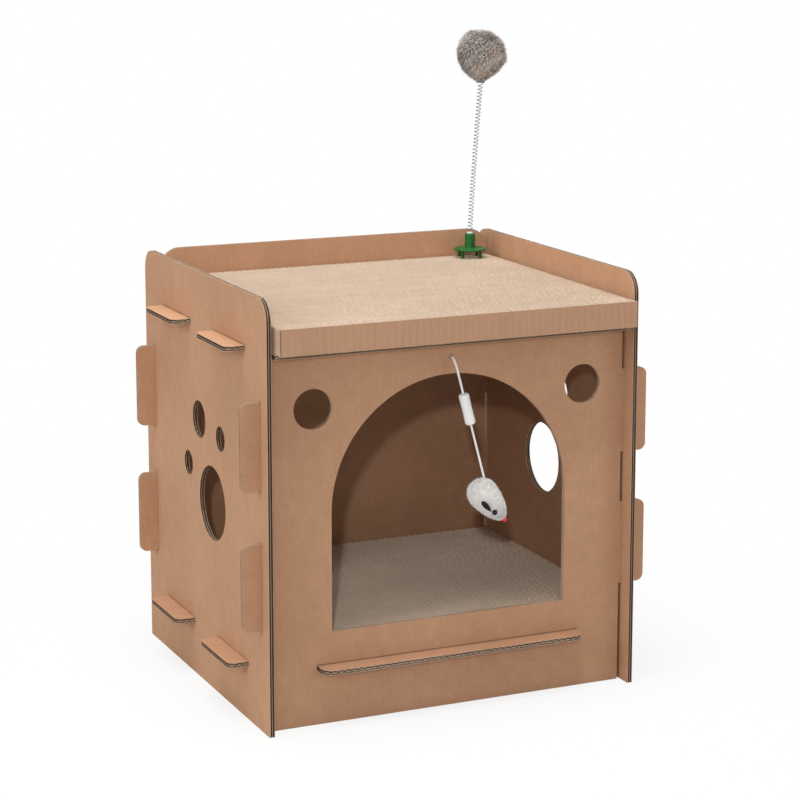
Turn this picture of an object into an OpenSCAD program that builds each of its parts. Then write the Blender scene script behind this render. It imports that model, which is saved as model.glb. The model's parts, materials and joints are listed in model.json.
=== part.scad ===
// Flat-pack pet house of double-wall corrugated board.
// Six boards lock together with tabs and slots, without glue.
// Two scratching pads, a ball on a spring and a hanging toy mouse go with it.
// X runs across the front, Y runs to the back, Z is up and the ground is Z = 0.
// The origin lies on the ground under the middle of the outline.

/* [House] */
// Width over the outer faces of the side boards
house_w = 370; // [330:1:420]
// Depth of a side board
side_d = 333; // [310:1:380]
// Height of a side board
side_h = 397; // [390:1:440]
// How far the back board stands higher than the side boards
back_rise = 2.5; // [0:0.5:10]
// Corner radius at the top of the side and back boards
corner_r = 20; // [8:1:30]
// Thickness of the board
board_t = 4.5; // [3.5:0.1:6]
// From a side board's front edge back to the front board
front_setback = 16; // [12:1:30]
// From a side board's back edge forward to the back board
back_setback = 23.5; // [12:0.5:30]
// Height of the side boards over the roof board's underside
rail_h = 53; // [40:1:70]
// Underside of the floor board above the ground
floor_z = 51; // [30:1:58]

/* [Tabs and slots] */
// How far a tab stands out of the board it passes through
tab_out = 19; // [10:0.5:22]
// Corner radius of the tabs
tab_r = 7; // [3:0.5:9]
// Height of the tabs on the front and back boards
upright_tab_h = 80; // [50:1:90]
// Gap between the upper and the lower tabs of the front and back boards
upright_tab_gap = 48.5; // [20:0.5:80]
// Length of the side tabs on the roof and floor boards
shelf_tab_l = 80; // [50:1:95]
// Distance between the middles of the two side tabs in a row
shelf_tab_pitch = 145; // [120:1:165]
// Width of the long tab at the front and back of the floor board
sill_tab_w = 265; // [180:1:290]
// Corner radius of the long tab
sill_tab_r = 12; // [4:1:15]
// Extra height or width of a slot over the board in it
slot_play = 0.8; // [0.4:0.1:1.5]
// Clearance at each end of a slot
slot_end = 0.5; // [0.3:0.1:1.5]
// Gap between the front or back board and each side board
side_gap = 3; // [1:0.5:5]
// Gap between the shelf boards and the uprights they butt against
shelf_gap = 0.5; // [0.2:0.1:1.5]

/* [Doorway and holes] */
// Width of the arched doorway
door_w = 236; // [180:1:240]
// Top of the door sill above the ground
sill_h = 86; // [70:1:100]
// Height of the board left over the arch
door_head = 29.5; // [20:0.5:50]
// Diameter of the two peep holes
peep_d = 37; // [20:1:42]
// Middle of a peep hole in from the end of the front board
peep_in = 42; // [30:0.5:46]
// Middle of a peep hole below the roof board
peep_drop = 50.5; // [30:0.5:60]
// Diameter of the hole for the cord
cord_hole_d = 4; // [3:0.1:6]
// Middle of the cord hole above the arch
cord_hole_up = 15.5; // [8:0.5:17]
// Diameter of the paw print's heel
heel_d = 71; // [50:1:76]
// Diameter of the paw print's middle toe
toe_d = 36; // [24:1:40]
// Diameter of the paw print's outer toes
outer_toe_d = 24; // [16:1:30]
// Middle of the heel above the ground
paw_z = 182; // [172:1:190]
// Middle of the heel in front of the middle of the room
paw_y = 18; // [0:1:25]
// Lean of the paw print towards the back
paw_lean = 25; // [10:1:35]
// From the middle of the heel to the middle of the middle toe
toe_reach = 81; // [74:1:86]
// From the middle of the heel to the middle of an outer toe
outer_toe_reach = 70.5; // [62:0.5:76]
// Angle between the middle toe and an outer toe
toe_spread = 44.5; // [40:0.5:50]

/* [Scratching pads] */
// Gap between the top pad and each side board
top_pad_side = 4; // [1:0.5:12]
// Height of the top pad
top_pad_h = 24.5; // [20:0.5:30]
// How far the top pad stands out in front of the side boards
pad_overhang = 13.5; // [9:0.5:20]
// Gap between the top pad and the back board
top_pad_gap = 1; // [0.5:0.1:3]
// Height of the floor pad
floor_pad_h = 24.5; // [15:0.5:28]
// Gap around the floor pad
floor_pad_gap = 2; // [1:0.5:8]
// Thickness of one strip in a pad
strip_t = 4; // [3:0.1:6]
// Thickness of the ribs that the strips' liners form on a pad's top
rib_t = 1.2; // [0.8:0.1:2]
// Depth of the open channels between the ribs
channel_h = 2.6; // [1:0.1:5]

/* [Ball on a spring] */
// From the foot's rim to the end of the top pad
toy_end = 10; // [0:0.5:300]
// From the foot's rim to the back board
toy_inset = 1.5; // [1:0.5:200]
// Diameter of the foot
foot_d = 33; // [28:0.5:34]
// Height of the foot's underside above the pad
foot_lift = 7.5; // [2:0.5:12]
// Thickness of the foot's disc
foot_t = 2; // [1.2:0.1:3]
// Rounding of the disc's rim and of the socket's root
foot_r = 0.9; // [0.4:0.1:1]
// From the foot's rim to the middle of a prong
prong_edge = 3.5; // [2:0.1:6]
// Diameter of a prong
prong_d = 2.8; // [2:0.1:4]
// Depth of the prongs in the pad
prong_in = 14; // [8:0.5:16]
// Diameter of the flare that stops a prong at the pad
flare_d = 4.4; // [4.2:0.1:5]
// Height of the flare
flare_h = 2; // [1:0.1:2]
// Turn of the prongs about the toy's axis
prong_turn = 30; // [0:5:90]
// Wall of the socket on the foot
socket_wall = 2.25; // [1.5:0.05:4]
// Height of the socket above the foot's underside
socket_h = 17.5; // [12:0.5:24]
// How far the spring's end sleeve stands out round the coil
ferrule_lip = 0.2; // [0.1:0.05:0.6]
// Height of the end sleeve above the socket
ferrule_out = 1; // [0.5:0.5:6]
// Depth of the end sleeve in the socket
ferrule_in = 9; // [6:0.5:10]
// Diameter of the spring's coil to the middle of the wire
coil_d = 4.6; // [3.6:0.1:4.8]
// Thickness of the spring's wire
wire_d = 0.8; // [0.6:0.1:0.9]
// Length of the spring
spring_l = 153; // [120:1:180]
// Number of turns of the spring
spring_turns = 42; // [20:1:50]
// How far the spring leans to the side at its top
spring_lean = 11; // [0:1:20]
// Width of the plush ball
ball_w = 51; // [40:1:60]
// Height of the plush ball
ball_h = 56; // [40:1:64]
// Diameter of the plug in the ball
plug_d = 9; // [8:0.5:14]
// Height of the plug
plug_h = 16; // [10:1:20]

/* [Hanging mouse] */
// Thickness of the cord
cord_d = 2.2; // [1.6:0.1:2.6]
// Lean of the hanging cord to the side
cord_lean = 15; // [0:1:20]
// Diameter of the sleeve on the cord
sleeve_d = 9.8; // [7:0.1:12]
// Length of the sleeve
sleeve_l = 30; // [20:1:40]
// Rounding of the sleeve's ends
sleeve_r = 2.4; // [1:0.1:2.8]
// Length of the mouse's body
mouse_l = 44; // [38:1:56]
// Diameter of the mouse's body
mouse_d = 28; // [24:1:32]
// Lean of the mouse's nose to the side
mouse_lean = 39; // [20:1:55]
// Turn of the mouse's nose towards the front
mouse_turn = 20; // [0:1:35]
// How far the mouse's rear sits beside the cord's line
mouse_side = 4.5; // [0:0.5:6]
// Length of an ear
ear_l = 14; // [9:0.5:15]
// Width of an ear
ear_w = 5; // [4:0.5:8]
// Thickness of an ear
ear_t = 1.4; // [1:0.1:2]
// Diameter of an eye
eye_d = 5; // [3:0.1:6]
// Diameter of the nose
nose_d = 5; // [3:0.1:6]

/* [Hidden] */
$fn = 64;

// Colours
kraft = [0.71, 0.54, 0.40];
kraft_pale = [0.85, 0.76, 0.66];
green = [0.10, 0.40, 0.16];
steel = [0.75, 0.76, 0.78];
taupe = [0.58, 0.53, 0.49];
white = [0.95, 0.94, 0.92];
black = [0.05, 0.05, 0.05];
red = [0.75, 0.08, 0.10];

// A cut runs this much past the face it opens
over = 1;

// Places of the boards
side_in = house_w / 2 - board_t;
side_front = pad_overhang - (side_d + pad_overhang) / 2;
side_back = side_front + side_d;
side_mid = (side_front + side_back) / 2;
front_y = side_front + front_setback;
front_in = front_y + board_t;
back_h = side_h + back_rise;
roof_z = side_h - rail_h;
floor_top = floor_z + board_t;
back_y = side_back - back_setback - board_t;
room_mid = (front_y + back_y + board_t) / 2;
upright_w = 2 * (side_in - side_gap);
shelf_w = 2 * (side_in - side_gap);
tab_reach = house_w / 2 + tab_out;
shelf_tab_y = [side_mid - shelf_tab_pitch / 2, side_mid + shelf_tab_pitch / 2];
upright_mid = (roof_z + floor_top) / 2;
upright_pitch = upright_tab_h + upright_tab_gap;
upright_tab_z = [upright_mid + upright_pitch / 2, upright_mid - upright_pitch / 2];
door_top = roof_z - door_head;
arch_z = door_top - door_w / 2;
peep_x = upright_w / 2 - peep_in;
peep_z = roof_z - peep_drop;
cord_hole_z = door_top + cord_hole_up;

// Places of the pads
roof_top = roof_z + board_t;
top_pad_front = side_front - pad_overhang;
top_pad_d = back_y - top_pad_gap - top_pad_front;
top_pad_w = 2 * (side_in - top_pad_side);
top_pad_z = roof_top + top_pad_h;
floor_pad_w = 2 * (side_in - floor_pad_gap);
floor_pad_d = back_y - front_in - 2 * floor_pad_gap;

// Places of the ball toy
fit = 0.2;
toy_x = top_pad_w / 2 - toy_end - foot_d / 2;
toy_y = back_y - toy_inset - foot_d / 2;
foot_z = top_pad_z + foot_lift;
ferrule_d = coil_d + wire_d + 2 * ferrule_lip;
socket_d = ferrule_d + fit + 2 * socket_wall;
prong_tip = 4;
socket_bevel = 1;
socket_z = foot_z + socket_h;
spring_z = socket_z + ferrule_out;
spring_end = 1.2;
spring_steps = 8;
lean_power = 1.2;
plug_z = spring_z + spring_l;
plug_recess = 1;
ball_z = plug_z - plug_recess + ball_h / 2;
ball_x = toy_x + spring_lean;
ball_bands = 24;
ball_egg = 0.05;

// Places of the hanging toy
// Each route point is the distance out of the front board and the run down the cord
cord_out = 7;
bend_lead = 1.5;
bend_out = cord_out - bend_lead;
bend_run = 12;
bend_steps = 8;
bend_turns = [for (i = [0:bend_steps]) 90 * i / bend_steps];
bend = [for (a = bend_turns) [bend_lead + bend_out * sin(a), bend_run * (1 - cos(a))]];
cord_step = 5;
sleeve_run = 35;
rear_run = 135;
mouse_r = mouse_d / 2;
bore_in = 5;
bore_fit = 0.1;
entry_run = rear_run - mouse_r + bore_in;
knot_d = 9;
mouse_bands = 14;
taper_power = 1.6;
taper_round = 0.56;
ear_at = 7;
ear_turn = 74;
ear_slope = 1;
ear_seat = 0.05;
ear_points = 24;
ear_swell = 0.65;
eye_at = 17;
eye_turn = 79;
nose_out = 0.5;

function unit(v) = v / norm(v);

// Turns a route point into a point of the house
function cord_point(p) = [
  p[1] * sin(cord_lean),
  front_y - p[0],
  cord_hole_z - p[1] * cos(cord_lean)
];

// Radius of the mouse at a distance from its widest place towards its nose
function mouse_radius(u) = mouse_r * pow(1 - pow(u, taper_power), taper_round);

// One ring of a tube, round the point p across the direction t
function ring(p, t, ref, r, sides) =
  let (b = unit(cross(t, ref)), n = cross(b, t))
  [for (k = [0:sides - 1]) p + r * (n * cos(360 * k / sides) + b * sin(360 * k / sides))];

// A closed tube along points, with one reference direction for each point
module tube(p, refs, r, sides) {
  last = len(p) - 1;
  dirs = [for (i = [0:last]) unit(p[min(i + 1, last)] - p[max(i - 1, 0)])];
  rings = [for (i = [0:last]) each ring(p[i], dirs[i], refs[i], r, sides)];
  walls = [
    for (i = [0:last - 1]) for (k = [0:sides - 1])
      let (a = i * sides + k, b = i * sides + (k + 1) % sides)
      each [[a, b, b + sides], [a, b + sides, a + sides]]
  ];
  first_cap = [for (k = [sides - 1:-1:0]) k];
  last_cap = [for (k = [0:sides - 1]) last * sides + k];
  polyhedron(rings, concat([first_cap], walls, [last_cap]), convexity = 10);
}

// Sets an outline drawn in X and Z upright, with its front face at y
module across(y) {
  translate([0, y + board_t, 0]) rotate([90, 0, 0]) linear_extrude(board_t) children();
}

// Sets an outline drawn in Y and Z upright, with its left face at x
module along(x) {
  translate([x, 0, 0]) rotate([90, 0, 90]) linear_extrude(board_t) children();
}

module mirrored_x() {
  children();
  mirror([1, 0]) children();
}

// A tab that grows from x = 0 to reach, length l, with round outer corners
module tab(reach, l, r) {
  translate([0, -l / 2]) square([reach - r, l]);
  translate([0, r - l / 2]) square([reach, l - 2 * r]);
  for (s = [-1, 1]) translate([reach - r, s * (l / 2 - r)]) circle(r);
}

// A board with round top corners, from x0 to x1 and from the ground to h
module round_top(x0, x1, h) {
  translate([x0, 0]) square([x1 - x0, h - corner_r]);
  translate([x0 + corner_r, 0]) square([x1 - x0 - 2 * corner_r, h]);
  for (x = [x0 + corner_r, x1 - corner_r]) translate([x, h - corner_r]) circle(corner_r);
}

// The slot of a shelf board's tab, w wide about x, with the board's underside at z
module shelf_slot(x, w, z) {
  translate([x - w / 2 - slot_end, z]) square([w + 2 * slot_end, board_t + slot_play]);
}

// The slot of an upright board's tab, drawn in Y and Z
module upright_slot(y, z) {
  translate([y - slot_play / 2, z - upright_tab_h / 2 - slot_end])
    square([board_t + slot_play, upright_tab_h + 2 * slot_end]);
}

// The four round holes of a paw print, with the heel's middle at the origin
module paw_print() {
  circle(d = heel_d);
  rotate(-paw_lean) {
    translate([0, toe_reach]) circle(d = toe_d);
    for (s = [-1, 1]) rotate(s * toe_spread) translate([0, outer_toe_reach]) circle(d = outer_toe_d);
  }
}

module side_outline() {
  difference() {
    round_top(side_front, side_back, side_h);
    for (y = shelf_tab_y) {
      shelf_slot(y, shelf_tab_l, roof_z);
      shelf_slot(y, shelf_tab_l, floor_z);
    }
    for (z = upright_tab_z) {
      upright_slot(front_y, z);
      upright_slot(back_y, z);
    }
  }
}

module left_panel() {
  color(kraft) along(-house_w / 2) difference() {
    side_outline();
    translate([room_mid - paw_y, paw_z]) paw_print();
  }
}

module right_panel() {
  color(kraft) along(side_in) difference() {
    side_outline();
    translate([room_mid + paw_y, paw_z]) mirror([1, 0]) paw_print();
  }
}

module upright_tabs() {
  mirrored_x() for (z = upright_tab_z) translate([0, z]) tab(tab_reach, upright_tab_h, tab_r);
}

// The slot of the floor board's long tab
module sill_slot() {
  shelf_slot(0, sill_tab_w, floor_z);
}

// The doorway: straight sides from the sill, then half a circle
module doorway() {
  translate([-door_w / 2, sill_h]) square([door_w, arch_z - sill_h]);
  intersection() {
    translate([0, arch_z]) circle(d = door_w);
    translate([-door_w, arch_z]) square([2 * door_w, door_w]);
  }
}

module front_panel() {
  color(kraft) across(front_y) difference() {
    union() {
      translate([-upright_w / 2, 0]) square([upright_w, roof_z]);
      upright_tabs();
    }
    doorway();
    sill_slot();
    mirrored_x() translate([peep_x, peep_z]) circle(d = peep_d);
    translate([0, cord_hole_z]) circle(d = cord_hole_d);
  }
}

module back_panel() {
  color(kraft) across(back_y) difference() {
    union() {
      round_top(-upright_w / 2, upright_w / 2, back_h);
      upright_tabs();
    }
    sill_slot();
  }
}

// A shelf board from y0 to y1 with its two tabs on each side
module shelf_outline(y0, y1) {
  translate([-shelf_w / 2, y0]) square([shelf_w, y1 - y0]);
  mirrored_x() for (y = shelf_tab_y) translate([0, y]) tab(tab_reach, shelf_tab_l, tab_r);
}

module roof_panel() {
  color(kraft) translate([0, 0, roof_z]) linear_extrude(board_t)
    shelf_outline(side_front, back_y - shelf_gap);
}

module floor_panel() {
  color(kraft) translate([0, 0, floor_z]) linear_extrude(board_t) {
    shelf_outline(front_in + shelf_gap, back_y - shelf_gap);
    translate([0, room_mid]) for (a = [-90, 90]) rotate(a)
      tab((back_y + board_t - front_y) / 2 + tab_out, sill_tab_w, sill_tab_r);
  }
}

// A pad of strips glued side by side, w along X, d along Y and h high
// The strips' liners stand up as ribs, with an open channel between two of them
module pad_block(w, d, h) {
  n = round((d - rib_t) / strip_t);
  pitch = (d - rib_t) / n;
  bed = h - channel_h;
  channels = [
    for (i = [0:n - 1])
      let (a = i * pitch + rib_t, b = (i + 1) * pitch)
      each [[a, h], [a, bed], [b, bed], [b, h]]
  ];
  outline = concat([[d, 0], [0, 0], [0, h]], channels, [[d, h]]);
  translate([-w / 2, 0, 0]) rotate([90, 0, 90]) linear_extrude(w) polygon(outline);
}

// Puts a shape at each of the four prongs, at a height from the prongs' roots
module at_prongs(z) {
  for (a = [0:90:270]) rotate(prong_turn + a) translate([foot_d / 2 - prong_edge, 0, z]) children();
}

// The four prongs, grown by play all round, with their roots at the origin's height
module prongs(l, play) {
  at_prongs(-l) {
    cylinder(h = prong_tip, d1 = prong_d / 3 + play, d2 = prong_d + play);
    translate([0, 0, prong_tip]) cylinder(h = l - prong_tip, d = prong_d + play);
  }
}

module top_pad() {
  color(kraft_pale) difference() {
    translate([0, top_pad_front, roof_top]) pad_block(top_pad_w, top_pad_d, top_pad_h);
    translate([toy_x, toy_y, top_pad_z + over]) prongs(prong_in + over, fit);
  }
}

module floor_pad() {
  color(kraft_pale) translate([0, front_in + floor_pad_gap, floor_top])
    pad_block(floor_pad_w, floor_pad_d, floor_pad_h);
}

module toy_base() {
  rim_r = foot_d / 2;
  hub_r = socket_d / 2;
  bore_r = (ferrule_d + fit) / 2;
  bore_z = socket_h - ferrule_in;
  color(green) translate([toy_x, toy_y, foot_z]) {
    rotate_extrude() difference() {
      union() {
        square([rim_r - foot_r, foot_t]);
        translate([rim_r - foot_r, foot_r]) circle(foot_r);
        translate([rim_r - foot_r, foot_r]) square([foot_r, foot_t - 2 * foot_r]);
        translate([rim_r - foot_r, foot_t - foot_r]) circle(foot_r);
        square([hub_r - socket_bevel, socket_h]);
        square([hub_r, socket_h - socket_bevel]);
        translate([hub_r - socket_bevel, socket_h - socket_bevel]) circle(socket_bevel);
        difference() {
          translate([0, foot_t]) square(hub_r + foot_r);
          translate([hub_r + foot_r, foot_t + foot_r]) circle(foot_r);
        }
      }
      translate([0, bore_z]) square([bore_r, ferrule_in + over]);
    }
    prongs(foot_lift + prong_in, 0);
    at_prongs(-foot_lift) cylinder(h = flare_h, d1 = flare_d, d2 = prong_d);
  }
}

module spring_ferrule() {
  color(white) translate([toy_x, toy_y, socket_z - ferrule_in])
    cylinder(h = ferrule_in + ferrule_out, d = ferrule_d);
}

module toy_spring() {
  n = round(spring_turns * spring_steps);
  r = coil_d / 2;
  spots = [for (i = [0:n]) i / n];
  outs = [for (i = [0:n]) [cos(360 * i / spring_steps), sin(360 * i / spring_steps), 0]];
  coil = [
    for (i = [0:n])
      let (x = toy_x + spring_lean * pow(spots[i], lean_power))
      let (z = spring_z + spring_end + spots[i] * (spring_l - 2 * spring_end))
      [x, toy_y, z] + r * outs[i]
  ];
  foot = [coil[0][0], coil[0][1], spring_z];
  head = [coil[n][0], coil[n][1], plug_z];
  gaps = [for (i = [0:n - spring_steps]) norm(coil[i + spring_steps] - coil[i]) - wire_d];
  echo(least_gap_between_turns = min(gaps));
  color(steel) tube(concat([foot], coil, [head]), concat([outs[0]], outs, [outs[n]]), wire_d / 2, 6);
}

module ball_plug() {
  color(white) translate([ball_x, toy_y, plug_z]) cylinder(h = plug_h, d = plug_d);
}

module pom_pom() {
  outline = [
    for (i = [0:ball_bands])
      let (a = 180 * i / ball_bands - 90)
      [ball_w / 2 * cos(a) * (1 + ball_egg * sin(a)), ball_h / 2 * sin(a)]
  ];
  color(taupe) difference() {
    translate([ball_x, toy_y, ball_z]) rotate_extrude() polygon(outline);
    translate([ball_x, toy_y, plug_z - plug_recess - over])
      cylinder(h = plug_h + plug_recess + over, d = plug_d + fit);
  }
}

// The knot behind the front board, with the run of cord through the hole
module cord_anchor() {
  color(white) translate([0, front_in, cord_hole_z]) {
    intersection() {
      translate([0, knot_d / 4, 0]) sphere(d = knot_d);
      translate([-knot_d, 0, -knot_d]) cube(2 * knot_d);
    }
    rotate([90, 0, 0]) cylinder(h = board_t, d = cord_d);
  }
}

// A stretch of cord from one run to another, straight down in front of the board
function straight_run(a, b) = [for (i = [0:ceil((b - a) / cord_step)]) [cord_out, min(a + i * cord_step, b)]];

module cord(route) {
  across_plane = [cos(cord_lean), 0, sin(cord_lean)];
  tube([for (p = route) cord_point(p)], [for (p = route) across_plane], cord_d / 2, 8);
}

module cord_upper() {
  color(white) cord(concat([[0, 0]], bend, straight_run(bend_run + cord_step, sleeve_run + sleeve_l)));
}

module cord_lower() {
  color(white) cord(straight_run(sleeve_run + sleeve_l, entry_run));
}

// Puts a shape drawn along +Z on the cord's line, at a run down the cord
module on_cord(run) {
  translate(cord_point([cord_out, run])) rotate([0, 180 - cord_lean, 0]) children();
}

module cord_sleeve() {
  bore_r = (cord_d + fit) / 2;
  r = sleeve_d / 2;
  color(white) on_cord(sleeve_run) rotate_extrude() difference() {
    union() {
      square([r - sleeve_r, sleeve_l]);
      translate([0, sleeve_r]) square([r, sleeve_l - 2 * sleeve_r]);
      for (z = [sleeve_r, sleeve_l - sleeve_r]) translate([r - sleeve_r, z]) circle(sleeve_r);
    }
    translate([0, -over]) square([bore_r, sleeve_l + 2 * over]);
  }
}

// Puts a shape drawn along +Z in the mouse's place, nose towards +Z
module in_mouse() {
  rear = cord_point([cord_out, rear_run]) - [mouse_side, 0, 0];
  translate(rear) rotate([0, 180 - mouse_lean, -mouse_turn]) children();
}

// The body swells from a round rear and tapers to the nose
module mouse_form() {
  front_l = mouse_l - mouse_r;
  turns = [for (i = [0:mouse_bands - 1]) 90 * i / mouse_bands - 90];
  rear = [for (a = turns) [mouse_r * cos(a), mouse_r * sin(a)]];
  taper = [
    for (i = [0:mouse_bands])
      let (u = sin(90 * i / mouse_bands))
      [mouse_radius(u), front_l * u]
  ];
  in_mouse() rotate_extrude() polygon(concat(rear, taper));
}

module mouse_body() {
  color(white) difference() {
    mouse_form();
    on_cord(entry_run - 2 * bore_in - over) cylinder(h = 2 * bore_in + over, d = cord_d + 2 * bore_fit);
  }
}

// Puts a shape on the mouse's skin, at a distance from its widest place and a turn from its back
module on_skin(at, turn) {
  u = at / (mouse_l - mouse_r);
  in_mouse() rotate(turn) translate([mouse_radius(u), 0, at]) children();
}

// A drop-shaped leaf that lies on the skin, with its narrow end towards the nose
module ear(turn) {
  front_l = mouse_l - mouse_r;
  skin_r = mouse_radius(ear_at / front_l);
  drop = mouse_radius((ear_at - ear_slope) / front_l) - mouse_radius((ear_at + ear_slope) / front_l);
  ear_tilt = atan(drop / (2 * ear_slope));
  outline = [
    for (i = [0:ear_points - 1])
      let (a = 360 * i / ear_points)
      [-ear_l / 2 * cos(a), ear_w * ear_swell * sin(a) * sin(a / 2)]
  ];
  color(black) on_skin(ear_at, turn) rotate([0, 90 - ear_tilt, 0]) difference() {
    translate([0, 0, -ear_t]) linear_extrude(2 * ear_t) polygon(outline);
    translate([-ear_l, 0, -skin_r]) rotate([0, 90, 0]) cylinder(h = 2 * ear_l, r = skin_r + ear_seat);
  }
}

module mouse_ear_left() {
  ear(-ear_turn);
}

module mouse_ear_right() {
  ear(ear_turn);
}

module mouse_eyes() {
  color(black) for (s = [-1, 1]) difference() {
    on_skin(eye_at, s * eye_turn) sphere(d = eye_d);
    mouse_form();
  }
}

module mouse_nose() {
  color(red) difference() {
    in_mouse() translate([0, 0, mouse_l - mouse_r + nose_out]) sphere(d = nose_d);
    mouse_form();
  }
}

left_panel();
right_panel();
front_panel();
back_panel();
roof_panel();
floor_panel();
top_pad();
floor_pad();
toy_base();
spring_ferrule();
toy_spring();
ball_plug();
pom_pom();
cord_anchor();
cord_upper();
cord_sleeve();
cord_lower();
mouse_body();
mouse_ear_left();
mouse_ear_right();
mouse_eyes();
mouse_nose();
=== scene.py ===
# %% [markdown]
# # A cardboard cat condo
# This lesson dresses a measured model of a flat-pack cardboard house in Blender.
# The measured model, called the frame, is loaded first and is never moved.
# Most visible pieces are then built around it and tied to the body they move with, but the cord's two lengths
# and the spring are not.
# The places of its hinges are kept too, because the cord and the spring start from them.

# %% Load the frame
import bpy
import bmesh
import json
import math
import numpy as np
from mathutils import Matrix, Vector


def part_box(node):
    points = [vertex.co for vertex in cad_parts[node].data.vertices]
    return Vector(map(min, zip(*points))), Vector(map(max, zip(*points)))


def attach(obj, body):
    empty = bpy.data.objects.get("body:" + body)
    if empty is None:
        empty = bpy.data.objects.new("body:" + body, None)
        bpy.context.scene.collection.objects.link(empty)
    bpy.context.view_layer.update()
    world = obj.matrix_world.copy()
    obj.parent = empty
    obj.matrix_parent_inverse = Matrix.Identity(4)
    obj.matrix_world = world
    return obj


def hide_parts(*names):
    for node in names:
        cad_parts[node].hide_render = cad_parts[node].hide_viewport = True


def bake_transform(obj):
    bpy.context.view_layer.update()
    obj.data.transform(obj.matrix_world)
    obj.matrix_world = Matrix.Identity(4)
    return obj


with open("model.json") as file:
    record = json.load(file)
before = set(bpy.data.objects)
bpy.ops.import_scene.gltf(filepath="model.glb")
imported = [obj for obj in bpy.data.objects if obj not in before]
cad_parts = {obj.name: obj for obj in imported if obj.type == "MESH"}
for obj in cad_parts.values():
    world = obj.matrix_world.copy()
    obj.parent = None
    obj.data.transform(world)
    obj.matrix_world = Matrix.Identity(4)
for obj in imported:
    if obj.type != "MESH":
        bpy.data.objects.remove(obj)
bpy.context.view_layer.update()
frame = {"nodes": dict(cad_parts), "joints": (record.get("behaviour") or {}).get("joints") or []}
nodes = frame["nodes"]
hinge_at = {joint["name"]: joint["pos_m"] for joint in frame["joints"] if "pos_m" in joint}
scene = bpy.context.scene

# %% [markdown]
# ## The camera
# The camera stands where the photo was taken from: in front of the house, to the left and a little above it.
# It is far away and has a long lens, which keeps the boards' edges close to parallel.
# A small shift moves the picture up without tilting the camera further, so upright edges stay almost upright.

# %% Camera
CAMERA_PLACE = (-0.9144, -2.0638, 0.7551)
LENS, SHIFT = 107.65, -0.1
TILT_DOWN, TURN_RIGHT = 0.1820, 0.4227

camera = bpy.data.objects.new("camera", bpy.data.cameras.new("camera"))
camera.data.sensor_width = 36
camera.data.lens = LENS
camera.data.shift_y = SHIFT
camera.data.clip_end = 50
camera.location = CAMERA_PLACE
camera.rotation_euler = (math.pi / 2 - TILT_DOWN, 0, -TURN_RIGHT)
scene.collection.objects.link(camera)
scene.camera = camera
print("camera: lens", camera.data.lens, "mm")

# %% [markdown]
# ## Pieces and meshes
# A mesh can be made from lists of corner points and faces, or from a bmesh, which is Blender's editable mesh.
# `finish_piece` turns either into an object, gives it its materials and ties it to a body of the frame.
# `point_layer` stores a number at each point of a mesh, where a material can read it by name.

# %% Piece helpers
def finish_piece(name, mesh, materials, body=None, replaces=(), smooth=True):
    mesh.polygons.foreach_set("use_smooth", [smooth] * len(mesh.polygons))
    for material in materials:
        mesh.materials.append(material)
    obj = bpy.data.objects.new(name, mesh)
    scene.collection.objects.link(obj)
    if body:
        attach(obj, body)
    if replaces:
        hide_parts(*replaces)
    return obj


def mesh_from_points(name, points, faces):
    mesh = bpy.data.meshes.new(name)
    mesh.from_pydata(np.asarray(points).tolist(), [], faces)
    mesh.update()
    return mesh


def mesh_from_bmesh(name, bm, smooth_angle=None):
    # Edges that turn by more than the angle stay sharp
    mesh = bpy.data.meshes.new(name)
    bmesh.ops.recalc_face_normals(bm, faces=bm.faces)
    if smooth_angle:
        for edge in bm.edges:
            edge.smooth = len(edge.link_faces) == 2 and edge.calc_face_angle() < smooth_angle
    bm.to_mesh(mesh)
    bm.free()
    return mesh


def mesh_column(mesh, axis):
    places = np.empty(3 * len(mesh.vertices))
    mesh.vertices.foreach_get("co", places)
    return places[axis::3]


def point_layer(mesh, name, values):
    layer = mesh.attributes.new(name, "FLOAT", "POINT")
    layer.data.foreach_set("value", np.asarray(values, np.float32))


print("piece helpers ready")

# %% [markdown]
# ## Tubes and turned shapes
# Cords and wires are tubes, and many small parts are turned like work on a lathe.
# A curve with a bevel depth gives a tube round any path, so its mesh is kept and the curve is dropped.
# `bmesh.ops.spin` turns a profile round an axis, which is less work than placing rings of points by hand.

# %% Shape helpers
SMOOTH_TURNED = 0.7


def tube(name, path, radius, sides=12):
    curve = bpy.data.curves.new(name, "CURVE")
    curve.dimensions = "3D"
    curve.bevel_depth = radius
    curve.bevel_resolution = sides // 4 - 1
    curve.use_fill_caps = True
    spline = curve.splines.new("POLY")
    spline.points.add(len(path) - 1)
    for point, place in zip(spline.points, path):
        point.co = (*place, 1)
    helper = bpy.data.objects.new(name + "_curve", curve)
    scene.collection.objects.link(helper)
    graph = bpy.context.evaluated_depsgraph_get()
    mesh = bpy.data.meshes.new_from_object(helper.evaluated_get(graph))
    mesh.name = name
    bpy.data.objects.remove(helper)
    bpy.data.curves.remove(curve)
    return mesh


def revolve(name, profile, matrix, steps=48):
    # The profile is a list of (radius, height) pairs, spun round the local Z axis
    bm = bmesh.new()
    ring = [bm.verts.new((radius, 0, height)) for radius, height in profile]
    for a, b in zip(ring, ring[1:]):
        bm.edges.new((a, b))
    bmesh.ops.spin(bm, geom=bm.verts[:] + bm.edges[:], axis=(0, 0, 1), cent=(0, 0, 0),
                   angle=2 * math.pi, steps=steps, use_merge=True)
    bmesh.ops.remove_doubles(bm, verts=bm.verts, dist=1e-7)
    bmesh.ops.transform(bm, matrix=matrix, verts=bm.verts)
    return mesh_from_bmesh(name, bm, SMOOTH_TURNED)


def path_length(path):
    return float(np.linalg.norm(np.diff(np.array(path), axis=0), axis=1).sum())


print("shape helpers ready")

# %% [markdown]
# ## Materials
# Each material is a small network of procedural nodes on the Principled shader.
# An image could be wrapped round each piece instead, but it would need unwrapping and could blur.
# Texture coordinates come from the Object socket, so a pattern has a real size in metres.

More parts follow.
